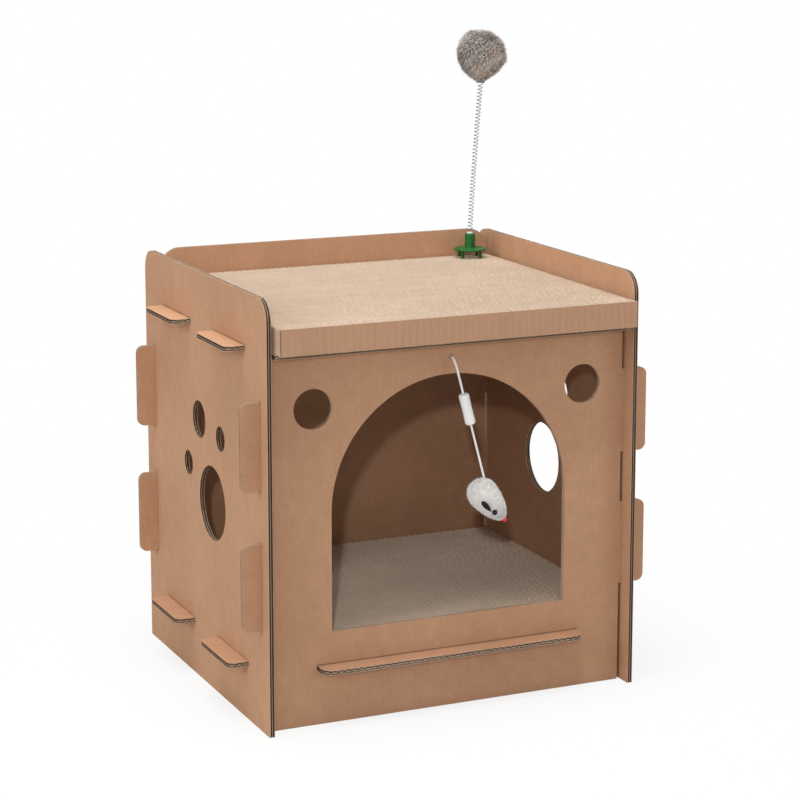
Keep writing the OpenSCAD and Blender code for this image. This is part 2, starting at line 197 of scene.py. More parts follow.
# %% Material helpers
def new_material(name, color, roughness, **sockets):
    material = bpy.data.materials.new(name)
    material.use_nodes = True
    shader = material.node_tree.nodes["Principled BSDF"]
    shader.inputs["Base Color"].default_value = (*color, 1)
    shader.inputs["Roughness"].default_value = roughness
    for socket, value in sockets.items():
        shader.inputs[socket.replace("_", " ")].default_value = value
    return material, material.node_tree, shader


def noise(tree, scale, detail, stretch=(1, 1, 1)):
    coords = tree.nodes.new("ShaderNodeTexCoord")
    mapping = tree.nodes.new("ShaderNodeMapping")
    mapping.inputs["Scale"].default_value = stretch
    texture = tree.nodes.new("ShaderNodeTexNoise")
    texture.inputs["Scale"].default_value = scale
    texture.inputs["Detail"].default_value = detail
    tree.links.new(coords.outputs["Object"], mapping.inputs["Vector"])
    tree.links.new(mapping.outputs["Vector"], texture.inputs["Vector"])
    return texture.outputs["Fac"]


def remap(tree, value, low, high, to_low=0.0, to_high=1.0):
    node = tree.nodes.new("ShaderNodeMapRange")
    node.inputs["From Min"].default_value = low
    node.inputs["From Max"].default_value = high
    node.inputs["To Min"].default_value = to_low
    node.inputs["To Max"].default_value = to_high
    tree.links.new(value, node.inputs["Value"])
    return node.outputs["Result"]


def fill_socket(tree, socket, value):
    # A number or a colour is set on the socket, and another node's output is linked to it
    if isinstance(value, (int, float)):
        socket.default_value = value
    elif isinstance(value, tuple):
        socket.default_value = (*value, 1)
    else:
        tree.links.new(value, socket)


def math_node(tree, operation, *values):
    node = tree.nodes.new("ShaderNodeMath")
    node.operation = operation
    for socket, value in zip(node.inputs, values):
        fill_socket(tree, socket, value)
    return node.outputs["Value"]


def mix(tree, factor, a, b):
    # A Mix node has its two colours in inputs 6 and 7 and their mix in output 2
    node = tree.nodes.new("ShaderNodeMix")
    node.data_type = "RGBA"
    for socket, value in ((node.inputs[0], factor), (node.inputs[6], a), (node.inputs[7], b)):
        fill_socket(tree, socket, value)
    return node.outputs[2]


def bump(tree, shader, height, strength, distance):
    node = tree.nodes.new("ShaderNodeBump")
    node.inputs["Strength"].default_value = strength
    node.inputs["Distance"].default_value = distance
    tree.links.new(height, node.inputs["Height"])
    tree.links.new(node.outputs["Normal"], shader.inputs["Normal"])


def attribute(tree, name):
    node = tree.nodes.new("ShaderNodeAttribute")
    node.attribute_name = name
    return node.outputs["Fac"]


print("material helpers ready")

# %% [markdown]
# ## Kraft paper
# Brown kraft paper is never one flat colour.
# A broad noise shades it, a fine noise gives it fibres, and a sharp noise leaves a few dark flecks.
# Over the flutes the paper sinks a little, so faint lines and streaks run along them.
# The attributes `across` and `along` hold each point's place across and along the flutes.
# A noise on Object coordinates alone couldn't follow the flutes of boards that stand in different ways.
# The attribute `tone` makes some of a pad's strips darker than others.

# %% Kraft paper
FLUTE_FINE, FLUTE_COARSE = 0.0036, 0.0064
FLECK = (0.13, 0.065, 0.03)


def streaks(tree, across_scale, along_scale, detail):
    place = tree.nodes.new("ShaderNodeCombineXYZ")
    tree.links.new(math_node(tree, "MULTIPLY", attribute(tree, "across"), across_scale), place.inputs["X"])
    tree.links.new(math_node(tree, "MULTIPLY", attribute(tree, "along"), along_scale), place.inputs["Y"])
    texture = tree.nodes.new("ShaderNodeTexNoise")
    texture.inputs["Scale"].default_value = 1
    texture.inputs["Detail"].default_value = detail
    tree.links.new(place.outputs["Vector"], texture.inputs["Vector"])
    return texture.outputs["Fac"]


def kraft(name, dark, light, lines=0.0):
    # `lines` is how much the flutes show through: 1 on the face of a board and 0 on cut or inner paper
    material, tree, shader = new_material(name, light, roughness=0.82, Specular_IOR_Level=0.25)
    broad = remap(tree, noise(tree, scale=9, detail=4), low=0.35, high=0.65)
    cloud = remap(tree, noise(tree, scale=70, detail=3), low=0.3, high=0.7)
    fibre = remap(tree, noise(tree, scale=520, detail=4), low=0.3, high=0.7)
    fleck = remap(tree, noise(tree, scale=420, detail=2), low=0.70, high=0.76)
    streak = remap(tree, streaks(tree, across_scale=300, along_scale=30, detail=3), low=0.32, high=0.68)
    turn = math_node(tree, "MULTIPLY", attribute(tree, "across"), 2 * math.pi / FLUTE_FINE)
    wave = math_node(tree, "SINE", turn)
    crest = remap(tree, wave, low=0.1, high=1.0)
    shade = light
    for layer, strength in ((broad, 0.35), (cloud, 0.3), (streak, 0.16 * lines), (crest, 0.10 * lines),
                            (fibre, 0.4), (attribute(tree, "tone"), 0.3)):
        shade = mix(tree, math_node(tree, "MULTIPLY", layer, strength), shade, dark)
    shade = mix(tree, math_node(tree, "MULTIPLY", fleck, 0.3), shade, FLECK)
    tree.links.new(shade, shader.inputs["Base Color"])
    rough = math_node(tree, "ADD", math_node(tree, "MULTIPLY", fibre, 0.4),
                      math_node(tree, "MULTIPLY", wave, 0.12 * lines))
    bump(tree, shader, rough, strength=0.4, distance=0.0002)
    return material


board_paper = kraft("kraft_board", dark=(0.36, 0.192, 0.106), light=(0.55, 0.314, 0.187), lines=1.0)
cut_paper = kraft("kraft_cut", dark=(0.46, 0.31, 0.21), light=(0.70, 0.52, 0.385))
# The core paper is far darker than kraft really is: painted shade for the paper deep inside the grooves
shaded_core_paper = kraft("kraft_core", dark=(0.09, 0.052, 0.03), light=(0.17, 0.105, 0.062))
pale_core = kraft("kraft_pale_core", dark=(0.33, 0.21, 0.135), light=(0.50, 0.345, 0.24))
wrap_paper = kraft("kraft_wrap", dark=(0.385, 0.215, 0.127), light=(0.59, 0.352, 0.224), lines=1.0)
pad_paper = kraft("kraft_pad", dark=(0.52, 0.415, 0.325), light=(0.74, 0.615, 0.49))
pad_core = kraft("kraft_pad_core", dark=(0.535, 0.43, 0.335), light=(0.79, 0.665, 0.535))
print("kraft papers:", len(bpy.data.materials))

# %% [markdown]
# ## Plastics, metal and plush
# Moulded plastic is smooth with a faint grain, and the eyes and the nose have a clear coat over it.
# Spring wire is a metal with fine streaks.
# Plush is rough and has sheen, the soft glow that fibres show at grazing angles.
# The attribute `tip` runs from 0 at a hair's root to 1 at its tip.
# The attribute `tone` makes some tufts paler than others.

# %% Other materials
def plastic(name, color, roughness, coat=0.0, shine=0.5):
    material, tree, shader = new_material(name, color, roughness, Coat_Weight=coat, Coat_Roughness=0.08,
                                          Specular_IOR_Level=shine)
    bump(tree, shader, noise(tree, scale=260, detail=2), strength=0.05, distance=0.0002)
    return material


def plush(name, root, tip, dull):
    material, tree, shader = new_material(name, tip, roughness=0.95, Sheen_Weight=0.3, Sheen_Roughness=0.5)
    shade = mix(tree, attribute(tree, "tone"), dull, tip)
    shade = mix(tree, remap(tree, attribute(tree, "tip"), low=0.0, high=0.75), root, shade)
    tree.links.new(shade, shader.inputs["Base Color"])
    return material


green_plastic = plastic("green_plastic", (0.006, 0.095, 0.013), roughness=0.38, shine=0.25)
white_plastic = plastic("white_plastic", (0.80, 0.79, 0.77), roughness=0.45)
plug_grey = plastic("plug_grey", (0.20, 0.18, 0.16), roughness=0.7)
cord_white = plastic("cord_white", (0.82, 0.81, 0.79), roughness=0.5)
sleeve_white = plastic("sleeve_white", (0.84, 0.83, 0.82), roughness=0.6)
eye_black = plastic("eye_black", (0.004, 0.004, 0.005), roughness=0.1, coat=0.1, shine=0.25)
nose_red = plastic("nose_red", (0.72, 0.015, 0.025), roughness=0.3, coat=0.3)
ear_black = plastic("ear_black", (0.018, 0.017, 0.018), roughness=0.8, shine=0.15)
grey_plush = plush("grey_plush", root=(0.18, 0.155, 0.135), tip=(0.80, 0.67, 0.585), dull=(0.36, 0.345, 0.33))
white_plush = plush("white_plush", root=(0.85, 0.83, 0.80), tip=(0.97, 0.955, 0.93), dull=(0.93, 0.91, 0.88))
spring_wire, tree, shader = new_material("spring_wire", (0.27, 0.28, 0.27), roughness=0.34, Metallic=1.0)
bump(tree, shader, noise(tree, scale=900, detail=2, stretch=(1, 1, 6)), strength=0.1, distance=0.00005)
print("materials:", len(bpy.data.materials))

# %% [markdown]
# ## The cord's route
# The cord comes first, because the pieces on it depend on its line.
# Each point of its route is a distance out of the front board and a run down the cord.
# It leaves the hole straight, turns down in a quarter of an ellipse, and hangs 15 degrees off plumb.
# Two lengths meet at the lower end of the sleeve, because the toy bends there.

# %% Cord route
FRONT_Y, HOLE_Z = hinge_at["cord_swing"][1:]
LEAN = math.radians(15)
CORD_D, CORD_OUT, CORD_STEP = 0.0022, 0.007, 0.0025
SLEEVE_RUN, SLEEVE_L = 0.035, 0.030
SLEEVE_END = SLEEVE_RUN + SLEEVE_L
ENTRY_RUN, REAR_RUN = 0.126, 0.135
BEND_LEAD, BEND_RUN, BEND_POINTS = 0.0015, 0.012, 22
BEND = [(0, 0)] + [(BEND_LEAD + (CORD_OUT - BEND_LEAD) * math.sin(a), BEND_RUN * (1 - math.cos(a)))
                   for a in np.linspace(0, math.pi / 2, BEND_POINTS)]


def cord_point(out, run):
    return np.array((run * math.sin(LEAN), FRONT_Y - out, HOLE_Z - run * math.cos(LEAN)))


def straight_run(start, end):
    count = round((end - start) / CORD_STEP) + 1
    return [cord_point(CORD_OUT, run) for run in np.linspace(start, end, count)]


upper_path = [cord_point(*p) for p in BEND] + straight_run(BEND_RUN + CORD_STEP, SLEEVE_END)
lower_path = straight_run(SLEEVE_END, ENTRY_RUN)

# %% [markdown]
# ## The cord and its sleeve
# A blended piece follows one body at its start and another at its end, and bends smoothly in between.
# The upper length leaves the hole square to the board and runs down to the sleeve.
# The lower length runs from the sleeve to the mouse.
# Both are plain tubes that are not tied to a body.

# %% Cord and sleeve
SLEEVE_R, SLEEVE_ROUND, SLEEVE_BORE = 0.0049, 0.0024, 0.0012
BORE_EDGE, WAIST = 0.0006, 0.00025


def cord_piece(name, path, node):
    return finish_piece(name, tube(name, path, CORD_D / 2), [cord_white], replaces=[node])


def sleeve_outline():
    r, soft, bore = SLEEVE_R, SLEEVE_ROUND, SLEEVE_BORE
    arc = [(r - soft + soft * math.sin(a), soft - soft * math.cos(a)) for a in np.linspace(0, math.pi / 2, 9)]
    waist = [(r - WAIST * math.sin(math.pi * t), soft + t * (SLEEVE_L - 2 * soft))
             for t in np.linspace(0.1, 0.9, 9)]
    low_bore = [(bore, BORE_EDGE), (bore + BORE_EDGE, 0)]
    low_end = low_bore + arc
    high_end = [(x, SLEEVE_L - z) for x, z in reversed(low_end)]
    return low_end + waist + high_end + low_bore[:1]


cord_upper = cord_piece("cord_upper_line", upper_path, "cord_upper")
cord_lower = cord_piece("cord_lower_line", lower_path, "cord_lower")
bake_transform(cord_upper)
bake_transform(cord_lower)
sleeve_at = Matrix.Translation(cord_point(CORD_OUT, SLEEVE_RUN)) @ Matrix.Rotation(math.pi - LEAN, 4, "Y")
sleeve = finish_piece("cord_sleeve_tube", revolve("cord_sleeve_tube", sleeve_outline(), sleeve_at),
                      [sleeve_white], "cord", ["cord_sleeve"])
print("cord pieces:", cord_upper.name, cord_lower.name, sleeve.name)

# %% [markdown]
# ## Corrugated board: the liners
# Double-wall board is five sheets of paper: three flat liners, and a fine and a coarse wavy sheet between.
# A plain slab with a striped edge would be quicker, but its edges would look printed on from close by.
# Each board's flat outline, with its holes and slots, is taken from the frame's own face.
# The liners are copies of that outline at three levels, extruded by the thickness of paper.
# Cut paper is pale. On most boards the paper inside the flutes is painted dark as shade, which is what makes
# the edge of a box stand out.

# %% Liners
PAPER, FINE_SHARE = 0.0003, 0.45
OUTER, CUT, INNER = 0, 1, 2
LINER_EDGE = 0.5


def flat_face(node):
    # The faces of a board's low side, the axis of its thickness and its box
    low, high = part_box(node)
    size = high - low
    axis = min(range(3), key=lambda i: size[i])
    bm = bmesh.new()
    bm.from_mesh(nodes[node].data)
    bmesh.ops.remove_doubles(bm, verts=bm.verts, dist=1e-6)
    away = [face for face in bm.faces
            if abs(face.calc_center_median()[axis] - low[axis]) > 1e-5 or abs(face.normal[axis]) < 0.9]
    bmesh.ops.delete(bm, geom=away, context="FACES")
    return bm, axis, low, high


def board_liners(node, bm, axis, levels):
    base = bm.faces[:]
    for level in levels:
        made = bmesh.ops.duplicate(bm, geom=base)["geom"]
        copied = [g for g in made if isinstance(g, bmesh.types.BMFace)]
        raised = bmesh.ops.extrude_face_region(bm, geom=copied)["geom"]
        for sheet, height in ((made, level), (raised, level + PAPER)):
            shift = Vector((0, 0, 0))
            shift[axis] = height
            corners = [g for g in sheet if isinstance(g, bmesh.types.BMVert)]
            bmesh.ops.translate(bm, vec=shift, verts=corners)
    bmesh.ops.delete(bm, geom=base, context="FACES")
    return mesh_from_bmesh(node + "_liners", bm, LINER_EDGE)


def paper_kinds(liners, axis, low, high):
    # Which paper each face shows: the board's outside, a cut edge or the inside; the inside takes the core
    # paper, which on most boards is painted shade
    middle, outermost = (low[axis] + high[axis]) / 2, (high[axis] - low[axis] - PAPER) / 2
    kinds = []
    for face in liners.polygons:
        flat = OUTER if abs(face.center[axis] - middle) > outermost else INNER
        kinds.append(CUT if abs(face.normal[axis]) < 0.5 else flat)
    return kinds


print("liners are %.1f mm thick" % (1000 * PAPER))

# %% [markdown]
# ## Corrugated board: the wavy sheets
# A wavy sheet is a sine wave across the board, drawn out along the flutes.
# A Boolean could trim it to the outline, but thousands of thin faces make that slow and fragile.
# So each step of the wave is a strip, cut where a line across the outline goes in and out of the board.
# A sheet stops a little short of the outermost edges, where a cut along a flute leaves an open groove.

# %% Wavy sheets
SHEET, EDGE_INSET = 0.00042, 0.0001
STEPS_PER_WAVE = 8
# A strip's two sides take the core paper, painted shade on most boards, and its two cut ends take cut paper
STRIP_PAPERS = [0, 0, 1, 1]


def spans(border, across):
    # Where a line across the outline lies inside it, from the border edges that it crosses
    a, b = border[:, 0], border[:, 1]
    hit = (a[:, 0] <= across) != (b[:, 0] <= across)
    t = (across - a[hit, 0]) / (b[hit, 0] - a[hit, 0])
    cuts = np.sort(a[hit, 1] + t * (b[hit, 1] - a[hit, 1]))
    return [(low + EDGE_INSET, high - EDGE_INSET) for low, high in zip(cuts[::2], cuts[1::2])
            if high - low > 3 * EDGE_INSET]


def wavy_sheet(border, pitch, depth_low, depth_high, groove):
    # Points are (across, along, depth); each step across is a strip with two sides and two cut ends
    start, end = border[:, :, 0].min() + groove, border[:, :, 0].max() - groove
    count = round((end - start) / pitch * STEPS_PER_WAVE)
    steps = np.linspace(start, end, count + 1)
    swing = (depth_high - depth_low - SHEET) / 2
    depth = (depth_low + depth_high) / 2 + swing * np.sin(2 * math.pi * steps / pitch)
    points, faces, known = [], [], {}

    def corner(i, along, side):
        key = (i, round(along, 6), side)
        if key not in known:
            known[key] = len(points)
            points.append((steps[i], along, depth[i] + side * SHEET / 2))
        return known[key]

    for i in range(count):
        for low, high in spans(border, (steps[i] + steps[i + 1]) / 2):
            ends = [(k, along) for k in (i, i + 1) for along in (low, high)]
            a, b, c, d = [corner(k, along, -1) for k, along in ends]
            e, f, g, h = [corner(k, along, 1) for k, along in ends]
            faces += [(a, b, d, c), (e, g, h, f), (a, c, g, e), (b, f, h, d)]
    return np.array(points), faces


def board_flutes(node, border, axes, gaps, groove):
    # Both wavy sheets as one mesh; the axes are those across the flutes, along them and of the thickness
    sheets, faces, count = [], [], 0
    for pitch, start, end in gaps:
        points, made = wavy_sheet(border, pitch, start, end, groove)
        placed = np.zeros_like(points)
        placed[:, axes] = points
        sheets.append(placed)
        faces += [tuple(k + count for k in face) for face in made]
        count += len(points)
    flutes = mesh_from_points(node + "_flutes", np.vstack(sheets), faces)
    if (axes[0] + 1) % 3 != axes[1]:
        flutes.flip_normals()
    flutes.polygons.foreach_set("material_index", STRIP_PAPERS * (len(faces) // len(STRIP_PAPERS)))
    return flutes


print("wavy sheets: flutes of %.1f mm and %.1f mm" % (1000 * FLUTE_FINE, 1000 * FLUTE_COARSE))

# %% [markdown]
# ## The six boards
# The flutes of the upright boards stand up, so their waves show on the top edges.
# In the roof and floor boards they run from front to back, so their waves show on the front edges.
# Tabs of the front and back boards are cut along a flute, which leaves a pale edge with hardly any groove, so
# their flutes take a paler core paper without the painted shade of the other boards.

# %% Boards
DEEP_GROOVE, SHALLOW_GROOVE = 0.0016, 0.0004
FRONT_TO_BACK, UPWARDS = 1, 2


def corrugated(node, along_axis, groove, core):
    bm, axis, low, high = flat_face(node)
    across_axis = 3 - axis - along_axis
    rim = [edge.verts for edge in bm.edges if edge.is_boundary]
    border = np.array([[(v.co[across_axis], v.co[along_axis]) for v in ends] for ends in rim])
    thick = high[axis] - low[axis]
    fine = FINE_SHARE * (thick - 3 * PAPER)
    levels = [0, PAPER + fine, thick - PAPER]
    liners = board_liners(node, bm, axis, levels)
    point_layer(liners, "across", mesh_column(liners, across_axis))
    point_layer(liners, "along", mesh_column(liners, along_axis))
    liners.polygons.foreach_set("material_index", paper_kinds(liners, axis, low, high))
    finish_piece(node + "_liners", liners, [board_paper, cut_paper, core], "house", [node])
    gaps = ((FLUTE_FINE, low[axis] + (levels[0] + PAPER), low[axis] + levels[1]),
            (FLUTE_COARSE, low[axis] + (levels[1] + PAPER), low[axis] + levels[2]))
    flutes = board_flutes(node, border, [across_axis, along_axis, axis], gaps, groove)
    finish_piece(node + "_flutes", flutes, [core, cut_paper], "house", smooth=False)
    print(node, "liners", len(liners.polygons), "flutes", len(flutes.polygons))


for name in ("left_panel", "right_panel"):
    corrugated(name, UPWARDS, DEEP_GROOVE, shaded_core_paper)
for name in ("front_panel", "back_panel"):
    corrugated(name, UPWARDS, SHALLOW_GROOVE, pale_core)
for name in ("roof_panel", "floor_panel"):
    corrugated(name, FRONT_TO_BACK, DEEP_GROOVE, shaded_core_paper)

# %% [markdown]
# ## Scratching pads
# A scratching pad is a stack of board strips set on edge and glued side by side.
# Seen from above, each strip is a straight liner and a wave, and the cells between them are open.
# A texture of cells would look flat from a low angle, so every liner and wave is a standing sheet.
# All the sheets are made with arrays, and a fixed seed varies the waves a little.
# The outermost liners ripple slightly, because the waves behind them show through.
# Torn fibres half fill the cells, so a bed of paper closes them a little way down.

# %% Pads
STRIP, PAD_WAVE, STEPS_PER_PAD_WAVE = 0.004, 0.0068, 6
PAD_PAPER, PAD_SHEET = 0.00045, 0.00024
SIDE_INSET, LINER_POINTS = 0.0002, 13
RIPPLE, RIPPLE_DRIFT, WAVE_DRIFT = 0.00009, 0.05, 0.03
TORN_LINER, TORN_WRAP, TORN_WAVE, WAVE_DROP = 0.0002, 0.0005, 0.00045, 0.0001
BED_DEPTH, BED_TONE, WRAP_TONE = 0.0013, 0.5, 1.7
LINER, WAVE, WRAP = 0, 1, 2
rng = np.random.default_rng(7)


def scratch_pad(node, body):
    low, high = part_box(node)
    width, depth = (high - low).xy
    strips = round(depth / STRIP)
    pitch = depth / strips
    points, faces, papers, tones, count = [], [], [], [], 0

    def ribbon(x, y, thick, z0, z1, paper):
        # A standing sheet along X with a front, a top edge, a back and two ends
        nonlocal count
        n = len(x)
        for side, z in ((-1, z0), (-1, z1), (1, z1), (1, z0)):
            points.append(np.column_stack([x, y + side * thick / 2, z]))
        for k in range(3):
            a, b = count + k * n, count + (k + 1) * n
            faces.extend((a + i, a + i + 1, b + i + 1, b + i) for i in range(n - 1))
        for i, order in ((0, (0, 1, 2, 3)), (n - 1, (3, 2, 1, 0))):
            faces.append(tuple(count + k * n + i for k in order))
        # The ends of a wave show on the pad's sides, so they look like the wrap
        column = np.full(n - 1, paper)
        column[[0, 1, -2, -1]] = WRAP if paper == WAVE else paper
        papers.extend(np.tile(column, 3))
        papers.extend((WRAP, WRAP))
        tones.extend([WRAP_TONE if paper == WRAP else rng.random()] * (4 * n))
        count += 4 * n

    columns = round(width / PAD_WAVE * STEPS_PER_PAD_WAVE)
    across = np.linspace(low.x + SIDE_INSET, high.x - SIDE_INSET, columns + 1)
    wave_turn = 2 * math.pi * across / PAD_WAVE
    along = np.linspace(low.x, high.x, LINER_POINTS)
    for i in range(1, strips):
        top = high.z - rng.uniform(0, TORN_LINER, LINER_POINTS)
        y = np.full(LINER_POINTS, low.y + i * pitch)
        ribbon(along, y, PAD_PAPER, np.full(LINER_POINTS, low.z), top, LINER)
    for y, inward in ((low.y + PAD_PAPER / 2, 1), (high.y - PAD_PAPER / 2, -1)):
        drift = np.cumsum(rng.normal(0, RIPPLE_DRIFT, len(across)))
        ripple = RIPPLE * (1 + np.sin(wave_turn + drift))
        ragged = low.z + rng.uniform(0, TORN_WRAP, len(across))
        ribbon(across, y + inward * ripple, PAD_PAPER, ragged, np.full(len(across), high.z), WRAP)
    swing = (pitch - PAD_PAPER - PAD_SHEET) / 2
    for i in range(strips):
        middle = low.y + (i + 0.5) * pitch
        phase = rng.uniform(0, 2 * math.pi)
        drift = np.cumsum(rng.normal(0, WAVE_DRIFT, len(across)))
        y = middle + swing * np.sin(wave_turn + phase + drift)
        top = high.z - WAVE_DROP - rng.uniform(0, TORN_WAVE, len(across))
        ribbon(across, y, PAD_SHEET, np.full(len(across), low.z), top, WAVE)
    bed = high.z - BED_DEPTH
    x0, y0, x1, y1 = low.x + PAD_PAPER, low.y + PAD_PAPER, high.x - PAD_PAPER, high.y - PAD_PAPER
    points.append(np.array(((x0, y0, bed), (x1, y0, bed), (x1, y1, bed), (x0, y1, bed))))
    faces.append((count, count + 1, count + 2, count + 3))
    papers.append(WAVE)
    tones.extend([BED_TONE] * 4)
    mesh = mesh_from_points(node + "_strips", np.vstack(points), faces)
    mesh.polygons.foreach_set("material_index", papers)
    point_layer(mesh, "tone", tones)
    point_layer(mesh, "across", mesh_column(mesh, 0))
    point_layer(mesh, "along", mesh_column(mesh, 2))
    finish_piece(node + "_strips", mesh, [pad_paper, pad_core, wrap_paper], body, [node], smooth=False)
    print(node, strips, "strips,", len(mesh.polygons), "faces")


scratch_pad("top_pad", "pad")
scratch_pad("floor_pad", "house")

# %% [markdown]
# ## The ball's foot
# The foot is a plastic moulding: a thin disc with a round rim, a fillet and a socket with a round lip.
# All of that is round, so it is turned from one profile.
# Each prong is three cones: a shaft, a blunt tip and a flare that stops at the pad.
# The ferrule in the socket and the plug in the ball are plain, so the frame's own solids only get a material.

# %% Foot, ferrule and plug
TOY, FOOT_LIFT = Vector(hinge_at["ball_nod"]), 0.0075
DISC_R, DISC_T, EDGE_ROUND = 0.0165, 0.0020, 0.0009
HUB_R, SOCKET_H, LIP_ROUND = 0.00525, 0.0175, 0.001
BORE_R, BORE_Z, BORE_ROUND = 0.0030, 0.0085, 0.0004
PRONGS, PRONG_TURN, PRONG_AT = 4, math.radians(30), 0.013
SHAFT_R, TIP_R, FLARE_R = 0.0014, 0.0005, 0.0022
SHAFT_TOP, FLARE_TOP, FLARE_END, SHAFT_END, TIP_END = 0.0006, -0.0055, -0.0075, -0.0175, -0.0215
PRONG_PARTS = ((SHAFT_R, SHAFT_R, SHAFT_END, SHAFT_TOP), (TIP_R, SHAFT_R, TIP_END, SHAFT_END),
               (FLARE_R, SHAFT_R, FLARE_END, FLARE_TOP))


def quarter(r, z, radius, start):
    # A quarter circle round (r, z), from an angle in degrees
    return [(r + radius * math.cos(math.radians(a)), z + radius * math.sin(math.radians(a)))
            for a in np.linspace(start, start + 90, 5)]


def foot_outline():
    rim, soft = DISC_R - EDGE_ROUND, EDGE_ROUND
    disc = [(0, 0)] + quarter(rim, soft, soft, -90) + quarter(rim, DISC_T - soft, soft, 0)
    fillet = quarter(HUB_R + soft, DISC_T + soft, soft, 180)[::-1]
    lip = quarter(HUB_R - LIP_ROUND, SOCKET_H - LIP_ROUND, LIP_ROUND, 0)
    bore = quarter(BORE_R + BORE_ROUND, SOCKET_H - BORE_ROUND, BORE_ROUND, 90)
    return disc + fillet + lip + bore + [(BORE_R, BORE_Z), (0, BORE_Z)]


def prong_mesh(place):
    bm = bmesh.new()
    for k in range(PRONGS):
        turned = place @ Matrix.Rotation(PRONG_TURN + 2 * math.pi * k / PRONGS, 4, "Z")
        for low_r, high_r, low_z, high_z in PRONG_PARTS:
            middle = Matrix.Translation((PRONG_AT, 0, (low_z + high_z) / 2))
            bmesh.ops.create_cone(bm, cap_ends=True, segments=20, radius1=low_r, radius2=high_r,
                                  depth=high_z - low_z, matrix=turned @ middle)
    return mesh_from_bmesh("toy_prongs", bm, SMOOTH_TURNED)


def dress_node(node, material):
    nodes[node].data.materials.clear()
    nodes[node].data.materials.append(material)


foot_place = Matrix.Translation((TOY.x, TOY.y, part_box("top_pad")[1].z + FOOT_LIFT))
foot_mesh = revolve("toy_foot", foot_outline(), foot_place, steps=56)
foot = finish_piece("toy_foot", foot_mesh, [green_plastic], "pad", ["toy_base"])
prongs = finish_piece("toy_prongs", prong_mesh(foot_place), [green_plastic], "pad")
dress_node("spring_ferrule", white_plastic)
dress_node("ball_plug", plug_grey)
print("foot faces", len(foot.data.polygons), "prong faces", len(prongs.data.polygons))

# %% [markdown]
# ## The spring
# A coil is a circle that climbs: the angle grows with the height.
# A Screw modifier makes only straight coils, and this one leans, so a formula gives its points.
# The toy bends one way at its foot and the other way at its middle, so the coil is cut in two there.

# %% Spring
SPRING_Z, SPRING_L, SPRING_LEAN, LEAN_POWER = hinge_at["ball_nod"][2], 0.153, 0.011, 1.2
TURNS, POINTS_PER_TURN = 42, 18
COIL_R, WIRE_D, WIRE_SIDES = 0.0023, 0.0008, 8
END_RUN, END_LAP = 0.0012, 0.0005


def coil_point(s):
    angle = 2 * math.pi * TURNS * s
    middle = TOY.x + SPRING_LEAN * s ** LEAN_POWER
    height = SPRING_Z + END_RUN + s * (SPRING_L - 2 * END_RUN)
    return np.array((middle + COIL_R * math.cos(angle), TOY.y + COIL_R * math.sin(angle), height))


def spring_piece(name, path, replaces=()):
    mesh = tube(name, path, WIRE_D / 2, WIRE_SIDES)
    return finish_piece(name, mesh, [spring_wire], replaces=replaces)


coil = [coil_point(s) for s in np.linspace(0, 1, TURNS * POINTS_PER_TURN + 1)]
half = len(coil) // 2
foot_end = (coil[0][0], coil[0][1], SPRING_Z - END_LAP)
head_end = (coil[-1][0], coil[-1][1], SPRING_Z + SPRING_L + END_LAP)
spring_low = spring_piece("spring_low", [foot_end] + coil[:half + 1], ["toy_spring"])
spring_high = spring_piece("spring_high", coil[half:] + [head_end])
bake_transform(spring_low)
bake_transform(spring_high)
print("spring points", len(coil))

# %% [markdown]
# ## Plush hair
# Plush is a skin with many short hairs.
# Blender's own hair system leaves no mesh behind, and these pieces have to be meshes.
# So each hair is a thin three-sided cone that starts on the skin, leans a little and bends.
# All hairs are made in one array, so thousands of them are quick to build.

# %% Hair builder
HAIR_STRAY, HAIR_TAPER, HAIR_SIDES = 0.12, 0.85, 3


def hairs(name, roots, normals, lengths, radius, lean, tone, seed, rings=4):
    stray = np.random.default_rng(seed)
    n, m = len(roots), HAIR_SIDES
    side = np.cross(normals, stray.normal(size=(n, 3)))
    side /= np.linalg.norm(side, axis=1)[:, None]
    other = np.cross(normals, side)
    sway = lean + stray.normal(0, HAIR_STRAY, (n, 3))
    points, tips = [], []
    for k in range(rings):
        t = k / (rings - 1)
        centre = roots + lengths[:, None] * (t * normals + t * t * sway)
        width = radius * (1 - HAIR_TAPER * t)
        for a in range(m):
            c, s = math.cos(2 * math.pi * a / m), math.sin(2 * math.pi * a / m)
            points.append(centre + width * (c * side + s * other))
            tips.append(np.full(n, t))
    first = np.arange(n)[:, None, None] * (m * rings)
    quads = [[m * k + a, m * k + (a + 1) % m, m * (k + 1) + (a + 1) % m, m * (k + 1) + a]
             for k in range(rings - 1) for a in range(m)]
    quads = (first + np.array(quads)[None]).reshape(-1, 4)
    caps = (first[:, 0] + np.arange(m * (rings - 1), m * rings)[None]).reshape(-1, m)
    mesh = mesh_from_points(name, np.stack(points, 1).reshape(-1, 3), quads.tolist() + caps.tolist())
    point_layer(mesh, "tip", np.stack(tips, 1).ravel())
    point_layer(mesh, "tone", np.repeat(tone, m * rings))
    return mesh


def spread_directions(count, seed):
    # Even directions over a sphere, along a golden spiral, with a little jitter
    jitter = np.random.default_rng(seed)
    i = np.arange(count) + 0.5
    z = 1 - 2 * i / count
    a = math.pi * (1 + 5 ** 0.5) * i
    ways = np.column_stack([np.sqrt(1 - z * z) * np.cos(a), np.sqrt(1 - z * z) * np.sin(a), z])
    ways += jitter.normal(0, 0.6 / math.sqrt(count), ways.shape)
    return ways / np.linalg.norm(ways, axis=1)[:, None]


print("hairs have", HAIR_SIDES, "sides")

# %% [markdown]
# ## The plush ball: its core
# The ball is stuffed: a soft egg, a little boxy above and drawn together below where the spring goes in.
# Its core is an icosphere, because that has no poles where faces bunch together.
# Every point of the sphere is then pushed to its place by a formula with a few broad lumps.

# %% Ball core
low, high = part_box("pom_pom")
ball_centre, ball_half = np.array((low + high) / 2), np.array((high - low) / 2)
CORE, BALL_FIT = 0.88, 0.965
BOXY, POINTED = 2.5, 1.55
LUMP, LUMP_SCALE, LUMP_SEED = 0.09, 2.4, 17


